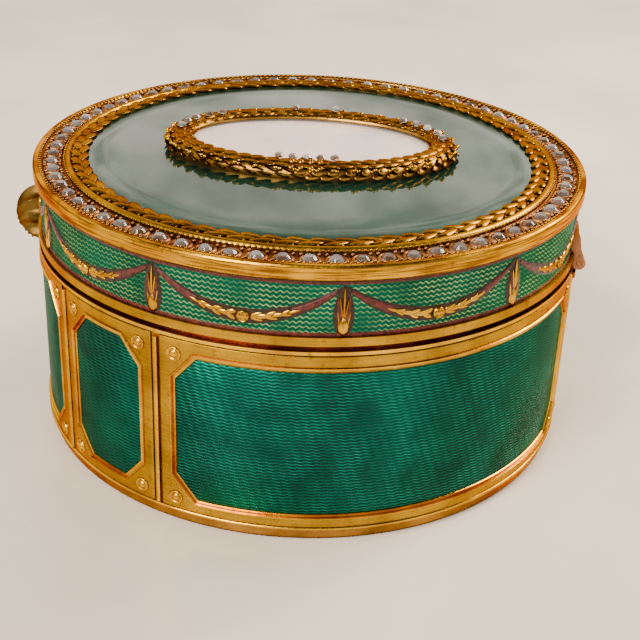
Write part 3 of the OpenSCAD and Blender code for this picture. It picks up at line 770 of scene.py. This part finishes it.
def make_top_rings():
    fillet = soften(lathe([(FILLET_IN, CHANNEL_Z), (CHANNEL_IN, CHANNEL_Z),
                           (CHANNEL_IN, LIP_Z + 0.02), (CHANNEL_IN - 0.25, LIP_Z + 0.25),
                           (FILLET_IN + 0.7, LIP_Z + 0.28), (FILLET_IN + 0.5, LIP_Z + 0.02),
                           (FILLET_IN, LIP_Z - 0.05)]), 0.08)
    finish_piece(fillet, "channel_fillet_turned", gilt_cage, LID,
                 ["channel_fillet"])
    ground = lathe([(PLAQUE_R, DECK_Z), (FILLET_IN, DECK_Z), (FILLET_IN, LIP_Z + 0.05),
                    (25.05, LIP_Z + 0.16), (PLAQUE_R, LIP_Z + 0.1)])
    leaves = bmesh.new()
    count = LAUREL_LEAVES
    for i in range(count):
        for side in (-1, 1):
            angle = (i + 0.25 * side) * 360 / count + 0.25 * sin(5.1 * i)
            lay = on_drum(angle, 25.2 + side * 0.36, LIP_Z + 0.2)
            leaf(leaves, lay @ Matrix.Rotation(side * 0.26 + 0.05 * sin(3.7 * i), 4, "Z")
                 @ Matrix.Rotation(pi / 2, 4, "X"), 2.5, 0.92, 0.15)
        bead(leaves, on_drum((i + 0.5) * 360 / count, 25.95, LIP_Z + 0.12), 0.16, 1)
    join(leaves, ground)
    ground.free()
    finish_piece(leaves, "laurel_ring_chased", gilt_chased, LID,
                 ["laurel_ring"], sharp=50)
    plaque = lathe([(0, DECK_Z), (PLAQUE_R, DECK_Z), (PLAQUE_R, LIP_Z - 0.05),
                    (24.2, LIP_Z + 0.06)]
                   + [(24.5 * i / 10, PLAQUE_Z + CROWN * (1 - i * i / 100))
                      for i in range(9, -1, -1)], closed=False)
    finish_piece(plaque, "lid_plaque_glazed", top_green, LID,
                 ["lid_enamel_plaque"])


# ---------------------------------------------------------------- medallion
def oval_at(t, off=0.0, a=(MEDAL_A + OPEN_A) / 2, b=(MEDAL_B + OPEN_B) / 2):
    """Point on the medallion's middle line, t in radians from +Y, off outwards, and heading."""
    normal = Vector((sin(t) / b, cos(t) / a)).normalized()
    spot = Vector((b * sin(t), a * cos(t))) + normal * off
    return spot.x, spot.y, atan2(normal.x, normal.y)


def on_oval(t, off, z, turn=0.0):
    """Matrix that lays a piece on the wreath: its x along the oval, its y up."""
    x, y, heading = oval_at(t, off)
    return (Matrix.Translation((x, y, z)) @ Matrix.Rotation(-heading + turn, 4, "Z")
            @ Matrix.Rotation(pi / 2, 4, "X"))


def even_oval(count):
    """count angles that step evenly along the oval."""
    fine = [tau * i / 2000 for i in range(2001)]
    run = [0.0]
    for p, q in zip(fine, fine[1:]):
        run.append(run[-1] + sqrt(sum((m - n) ** 2 for m, n in zip(oval_at(p)[:2], oval_at(q)[:2]))))
    marks, j = [], 0
    for i in range(count):
        while run[j] < run[-1] * i / count:
            j += 1
        marks.append(fine[j])
    return marks


def rosette(bm, matrix, size):
    """Small chased flower: a seed and five petals, its face towards the matrix's y."""
    bead(bm, matrix @ Matrix.Translation((0, 0.10 * size, 0)), 0.24 * size, 1)
    for i in range(5):
        a = tau * i / 5
        spot = Matrix.Translation((0.36 * size * cos(a), 0, 0.36 * size * sin(a)))
        bead(bm, matrix @ spot @ Matrix.Diagonal((1, 0.6, 1, 1)), 0.32 * size, 1)


WREATH_LOW = PLAQUE_Z + CROWN - 0.1         # height the wreath rises from
WREATH_LEAVES, BERRIES = 46, 38
# rows of leaves from the inner edge out: off the middle line, up, splay, length, width
LEAF_ROWS = ((-1.0, 1.30, 0.35, 2.0, 0.85), (-0.35, 1.44, 0.1, 2.2, 0.95),
             (0.35, 1.32, -0.25, 2.1, 0.9), (0.95, 0.92, -0.45, 2.0, 0.9),
             (1.22, 0.45, -0.3, 1.9, 0.8))


def wreath_bed():
    """Rounded bed of the wreath, spun as a ring and then drawn out to the oval."""
    centre = 10.0
    outline = ((-1.5, 0.0), (-1.62, 0.9), (-1.35, 1.25), (-0.6, 1.46), (0.3, 1.36),
               (0.95, 0.95), (1.25, 0.4), (1.25, 0.0))
    bed = lathe([(centre + off, WREATH_LOW + up) for off, up in outline], steps=180)
    for v in bed.verts:
        off = sqrt(v.co.x ** 2 + v.co.y ** 2) - centre
        v.co.x, v.co.y, _ = oval_at(atan2(v.co.x, v.co.y), off)
    return bed


def add_wreath_leaves(bm):
    """Overlapping leaves of two branches that run from the far side to the tie."""
    for i, t in enumerate(even_oval(WREATH_LEAVES)):
        branch = 1 if cos(t) < 0 else -1
        head = 0 if branch > 0 else pi
        for j, (off, up, splay, length, width) in enumerate(LEAF_ROWS):
            shift = t + 0.5 * (j % 2) * tau / WREATH_LEAVES + 0.006 * sin(3.1 * i + 2 * j)
            turn = head + branch * (splay + 0.06 * sin(2.1 * i + j))
            tip = Matrix.Rotation(0.0 if j < 3 else 0.75, 4, "X")
            leaf(bm, on_oval(shift, off, WREATH_LOW + up, turn) @ tip, length, width,
                 0.15 + 0.02 * sin(2.7 * i + j))


def add_tie(bm):
    """Bound stems where the branches meet."""
    for step in (-0.10, -0.035, 0.035, 0.10):
        for off, up in ((-0.9, 1.42), (0.0, 1.5), (0.8, 1.15)):
            bead(bm, on_oval(radians(90) + step, off, WREATH_LOW + up)
                 @ Matrix.Rotation(step, 4, "X"), 0.36, 2)


def make_wreath():
    whole, bed = bmesh.new(), wreath_bed()
    join(whole, bed)
    bed.free()
    add_wreath_leaves(whole)
    add_tie(whole)
    finish_piece(whole, "medallion_wreath_chased", gilt_chased, LID,
                 ["medallion_wreath"], sharp=70)


def make_berries():
    """Row of small flowers on the wreath's outer slope."""
    whole = bmesh.new()
    for i, t in enumerate(even_oval(BERRIES)):
        size, off = 0.96 + 0.05 * sin(3 * i), 0.95 + 0.22 * cos(t) ** 2
        rosette(whole, on_oval(t + 0.008 * sin(5 * i), off, WREATH_LOW + 0.86)
                @ Matrix.Rotation(0.9, 4, "X"), size)
    finish_piece(whole, "medallion_berries", gilt_leaf, LID, sharp=70)


def make_wreath_stones():
    """Cut stones along the crest: rows at both ends, pairs on the far side, a row by the tie."""
    whole = bmesh.new()
    places = [(t, -0.2) for t in (314, 323, 332, 343, 354, 184, 194, 204, 214, 223)]
    places += [(270 + 9 * i, 0.1) for i in (-1, 1)]
    places += [(90 + 6 * i, -1.15) for i in (-2, -1, 0, 1, 2)]
    for degrees, off in places:
        spot = on_oval(radians(degrees), off, PLAQUE_Z + CROWN + 1.62)
        for r0, r1, z0, z1 in ((0.46, 0.52, -0.14, 0.06), (0.52, 0.30, 0.06, 0.28)):
            bmesh.ops.create_cone(whole, cap_ends=True, segments=9, radius1=r0, radius2=r1,
                                  depth=z1 - z0, matrix=spot @ Matrix.Translation(
                                      (0, (z0 + z1) / 2, 0)) @ Matrix.Rotation(-pi / 2, 4, "X"))
    finish_piece(whole, "wreath_stones_cut", stone_glass, LID,
                 ["medallion_stones"], sharp=5)


def make_crystal():
    """Slightly domed crystal over the medallion, held by the wreath."""
    bm = lathe([(0, 0.30), (4.0, 0.29), (8.0, 0.25), (9.6, 0.2), (10.0, 0.16), (10.0, 0.02),
                (0, 0.02)], steps=96, closed=False)
    for v in bm.verts:
        r = sqrt(v.co.x ** 2 + v.co.y ** 2) / 10
        t = atan2(v.co.x, v.co.y)
        v.co = Vector((OPEN_B * 1.02 * r * sin(t), OPEN_A * 1.01 * r * cos(t),
                       v.co.z + PLAQUE_Z + CROWN + 0.52))
    finish_piece(bm, "medallion_crystal", crystal, LID, ["medallion_glass"])


# ---------------------------------------------------------------- thumbpiece
def make_thumbpiece():
    """Small fluted shell fixed to the lid's front, standing clear of the body below it."""
    bm = bmesh.new()
    bmesh.ops.create_uvsphere(bm, u_segments=96, v_segments=32, radius=1)
    for v in bm.verts:
        spin, flat = atan2(v.co.x, v.co.z + 0.35), sqrt(v.co.x ** 2 + v.co.z ** 2)
        reduced = THUMB_R * (1 - 0.24 * flat * abs(sin(THUMB_FLUTES / 2 * spin)))
        x, y, z = reduced * v.co.x, THUMB_Y + reduced * v.co.y, THUMB_Z + reduced * v.co.z
        floor_r = DRUM_R + 0.3 if z < LID_Z0 + 0.2 else ENAMEL_R - 0.3
        reach = sqrt(x * x + y * y)
        if reach < floor_r:
            x, y = x * floor_r / reach, y * floor_r / reach
        v.co = Vector((x, y, z))
    finish_piece(bm, "thumbpiece_fluted", gilt_shell, LID, ["thumbpiece"],
                 sharp=60)


# ---------------------------------------------------------------- carried-over nodes
def paint_nodes():
    finishes = {gilt_plain: ("base_plate", "body_wall", "lid_shell", "lid_inner_plate",
                             "medallion_bezel", "medallion_pins"),
                gilt_cage: ("lid_lower_band",),
                gilt_dark: ("inner_collar",),
                gilt_bright: ("body_rim_ring",),
                gilt_rose: ("stone_channel", "body_hinge_leaf", "lid_hinge_leaf", "hinge_pin"),
                cream: ("medallion_plaque",)}
    for mat, names in finishes.items():
        for name in names:
            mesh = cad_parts[name].data
            mesh.materials.clear()
            mesh.materials.append(mat)


# ---------------------------------------------------------------- room
def make_floor():
    bm = bmesh.new()
    bmesh.ops.create_grid(bm, x_segments=1, y_segments=1, size=3.0)
    mesh = bpy.data.meshes.new("floor")
    bm.to_mesh(mesh)
    bm.free()
    mesh.materials.append(marble())
    floor = bpy.data.objects.new("floor", mesh)
    bpy.context.scene.collection.objects.link(floor)


def make_studio():
    """Pale surround: a bright ring of cloth at half height, dimmer above and at the floor."""
    world = bpy.data.worlds.new("studio")
    bpy.context.scene.world = world
    world.use_nodes = True
    tree = world.node_tree
    sky = tree.nodes["Background"]
    place = add(tree, "ShaderNodeTexCoord", out="Generated")
    height = add(tree, "ShaderNodeSeparateXYZ", {"Vector": place}, out="Z")
    band = math(tree, "MULTIPLY", spread(tree, height, 0.08, 0.24),
                spread(tree, height, 0.80, 0.60, 0.0, 1.0))
    tone = blend_colours(tree, band, "8C8880", "FFF6E6")
    tree.links.new(tone, sky.inputs["Color"])
    # the studio's cloth hangs unevenly, which shows as soft drifts in the polished top
    cloth = add(tree, "ShaderNodeTexNoise", {"Vector": place, "Scale": 12.0, "Detail": 3.0})
    folds = spread(tree, cloth, 0.36, 0.64, 0.55, 1.25)
    tree.links.new(math(tree, "MULTIPLY", spread(tree, band, 0.0, 1.0, 0.45, 2.05), folds),
                   sky.inputs["Strength"])


def add_lamp(name, azimuth, elevation, distance, size, power, tint="FFFFFF"):
    """Soft square lamp that faces the box; azimuth as on the drum, from -Y towards +X."""
    data = bpy.data.lights.new(name, "AREA")
    data.size, data.energy, data.color = size, power, linear(tint)[:3]
    lamp = bpy.data.objects.new(name, data)
    a, e = radians(azimuth), radians(elevation)
    spot = Vector((sin(a) * cos(e), -cos(a) * cos(e), sin(e))) * distance
    lamp.location = spot
    lamp.rotation_euler = spot.to_track_quat("Z", "Y").to_euler()
    bpy.context.scene.collection.objects.link(lamp)


def make_lights():
    add_lamp("softbox", 56, 44, 0.5, 0.25, 3.9, "FFF8EC")
    add_lamp("window", 214, 42, 0.34, 0.16, 1.6, "FFF4E2")


# millimetres and degrees; distance and elevation are seen from the middle of the lip
CAMERA = {"azimuth": 93.0, "distance": 138.3, "elevation": 19.604, "down": 7.741,
          "yaw": 0.792, "roll": 2.442, "lens": 69.5}


def make_camera():
    """Camera aimed from the drum's right, a little above the lip."""
    data = bpy.data.cameras.new("camera")
    data.lens, data.clip_start = CAMERA["lens"], 0.01
    e, tip = radians(CAMERA["elevation"]), radians(CAMERA["elevation"] + CAMERA["down"])
    yaw, roll = radians(CAMERA["yaw"]), radians(CAMERA["roll"])
    ahead = Vector((sin(yaw) * cos(tip), cos(yaw) * cos(tip), -sin(tip)))
    right = ahead.cross(Vector((0, 0, 1))).normalized()
    up = right.cross(ahead)
    right, up = cos(roll) * right + sin(roll) * up, cos(roll) * up - sin(roll) * right
    pose = Matrix((right, up, -ahead)).transposed().to_4x4()
    pose.translation = Vector((0, -cos(e), sin(e))) * CAMERA["distance"] * MM
    swing = Matrix.Rotation(radians(CAMERA["azimuth"]), 4, "Z")
    camera = bpy.data.objects.new("camera", data)
    camera.matrix_world = Matrix.Translation((0, 0, LIP_Z * MM)) @ swing @ pose
    bpy.context.scene.collection.objects.link(camera)
    bpy.context.scene.camera = camera


make_camera()
make_floor()
make_studio()
make_lights()
paint_nodes()
make_cage()
make_panels()
make_mouldings()
make_pilaster_beads()
make_bosses()
make_body_rings()
make_lid_bands()
make_garlands()
make_stones()
make_milgrain()
make_top_rings()
make_wreath()
make_berries()
make_wreath_stones()
make_crystal()
make_thumbpiece()
